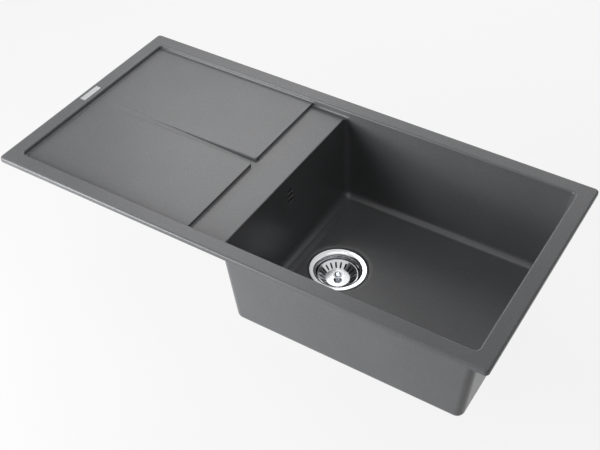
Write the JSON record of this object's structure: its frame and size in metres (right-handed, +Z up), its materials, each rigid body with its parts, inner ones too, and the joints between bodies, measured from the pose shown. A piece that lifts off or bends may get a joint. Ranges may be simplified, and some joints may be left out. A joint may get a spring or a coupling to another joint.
{
  "type": "inset kitchen sink with drainer",
  "caption": "Moulded composite inset sink with a drainer on the left, a deep bowl on the right, a basket strainer waste and a piped overflow.",
  "frame": {"origin": "centre of the rim's underside, on the plane that lies on the worktop", "axes": "+X towards the bowl, +Y towards the back of the worktop, +Z up out of the bowl"},
  "size_m": [1, 0.5, 0.2983],
  "materials": {
    "composite": "fine grained matt stone",
    "plate_steel": "brushed",
    "pressed_steel": "polished",
    "basket_steel": "polished",
    "chrome": "bright",
    "stem_steel": "turned",
    "spring_steel": "drawn wire",
    "brass": "turned",
    "screw_steel": "zinc plated",
    "seal_rubber": "matt",
    "stopper_rubber": "satin",
    "white_plastic": "moulded",
    "washer_plastic": "translucent"
  },
  "bodies": {
    "sink": {"sink_body": "composite", "rim_plate": "plate_steel", "clamp_inserts": "brass", "strainer_cup": "pressed_steel", "cup_seal": "seal_rubber", "waste_body": "white_plastic", "waste_body_seal": "seal_rubber", "clamp_screw": "screw_steel", "clamp_screw_insert": "brass", "overflow_gasket": "seal_rubber", "overflow_housing": "white_plastic", "overflow_screws": "screw_steel", "overflow_inserts": "brass", "overflow_pipe": "white_plastic", "pipe_nuts": "white_plastic", "pipe_washers": "washer_plastic"},
    "stopper": {"stopper": "stopper_rubber"},
    "basket": {"strainer_basket": "basket_steel", "basket_knob": "chrome", "basket_stem": "stem_steel", "stem_spring": "spring_steel", "stem_washer": "stem_steel"}
  },
  "joints": [
    {"name": "basket_lift", "type": "slide", "parent": "sink", "child": "stopper", "axis": [0, 0, 1], "range_m": [0, 0.26]},
    {"name": "basket_turn", "type": "hinge", "parent": "stopper", "child": "basket", "pos_m": [0.0995, 0, -0.1908], "axis": [0, 0, 1], "continuous": true}
  ]
}
